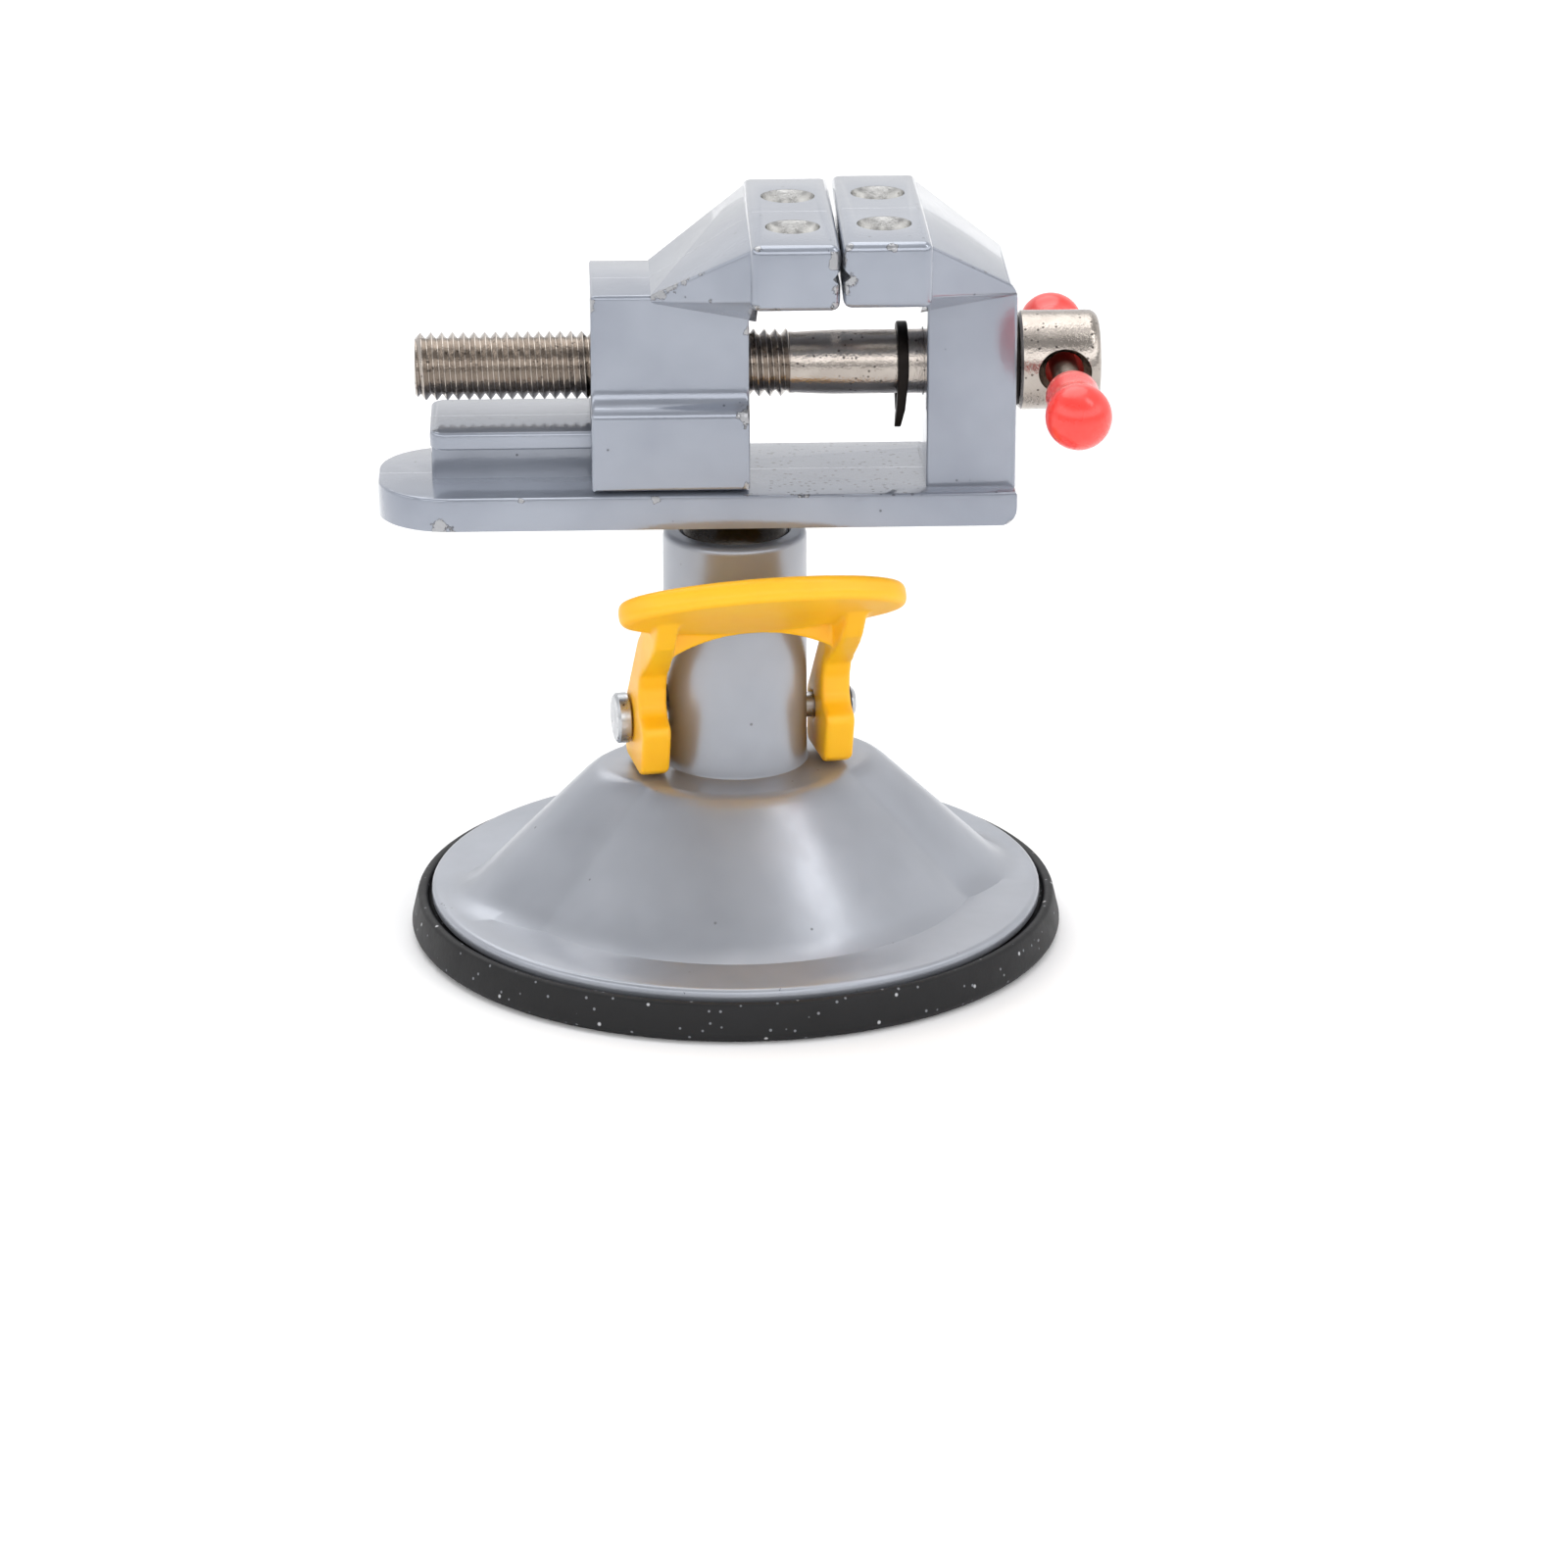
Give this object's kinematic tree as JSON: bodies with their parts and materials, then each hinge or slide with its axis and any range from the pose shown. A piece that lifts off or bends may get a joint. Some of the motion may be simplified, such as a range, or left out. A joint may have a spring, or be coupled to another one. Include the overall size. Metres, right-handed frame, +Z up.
{
  "type": "suction base vise",
  "caption": "Small bench vise with a sliding jaw, screw and tommy bar on a ball-jointed column, held to a smooth table by a lever-operated suction cup.",
  "frame": {"origin": "centre of the rubber cup's resting face, on the column's axis", "axes": "+X along the vise towards the screw's head, -Y towards the lever's thumb plate, +Z up"},
  "size_m": [0.0842, 0.078, 0.0882],
  "materials": {
    "casting_paint": "gloss grey-silver paint on a die casting",
    "cup_rubber": "matte black rubber",
    "lever_plastic": "glossy moulded yellow plastic",
    "cap_plastic": "soft glossy red plastic",
    "nickel_plate": "nickel-plated steel",
    "black_steel": "blackened spring steel",
    "zinc_plate": "zinc-plated steel",
    "spring_steel": "bright spring steel"
  },
  "bodies": {
    "base": {"suction_base": "casting_paint", "suction_cup": "cup_rubber"},
    "plunger": {"plunger_rod": "zinc_plate", "cup_insert": "zinc_plate", "lever_pin": "zinc_plate", "pin_end_washer": "black_steel", "release_spring": "spring_steel"},
    "lever": {"lever": "lever_plastic"},
    "ball_seat": {"ball_seat": "zinc_plate", "spring_washer": "zinc_plate"},
    "head": {"vise_body": "casting_paint", "ball_stud": "nickel_plate", "stud_lock_washer": "black_steel"},
    "screw": {"lead_screw": "nickel_plate", "screw_thrust_washer": "black_steel", "screw_retaining_clip": "black_steel"},
    "sliding_jaw": {"sliding_jaw": "casting_paint"},
    "tommy_bar": {"tommy_bar": "nickel_plate", "bar_cap_near": "cap_plastic", "bar_cap_far": "cap_plastic"}
  },
  "joints": [
    {"name": "plunger_lift", "type": "slide", "parent": "base", "child": "plunger", "axis": [0, 0, 1], "range_m": [0, 0.0029], "deforming": ["release_spring"]},
    {"name": "lever_turn", "type": "hinge", "parent": "plunger", "child": "lever", "pos_m": [0, 0, 0.027], "axis": [0.9848, 0.1736, 0], "range_deg": [0, 60]},
    {"name": "head_swivel", "type": "hinge", "parent": "base", "child": "ball_seat", "pos_m": [0, 0, 0.0466], "axis": [0, 0, 1], "continuous": true},
    {"name": "head_tilt", "type": "hinge", "parent": "ball_seat", "child": "head", "pos_m": [0, 0, 0.0466], "axis": [1, 0, 0], "range_deg": [-10, 10]},
    {"name": "screw_turn", "type": "hinge", "parent": "head", "child": "screw", "pos_m": [0.02, 0, 0.0698], "axis": [1, 0, 0], "range_deg": [0, 7200.1]},
    {"name": "jaw_slide", "type": "slide", "parent": "head", "child": "sliding_jaw", "axis": [-1, 0, 0], "range_m": [0, 0.025]},
    {"name": "bar_slide", "type": "slide", "parent": "screw", "child": "tommy_bar", "axis": [0, 1, 0], "range_m": [-0.0006, 0.0091]}
  ],
  "couplings": [
    {"joint": "lever_turn", "follows": "plunger_lift", "rad_per_m": 361.1},
    {"joint": "screw_turn", "follows": "jaw_slide", "rad_per_m": 5026.5}
  ]
}
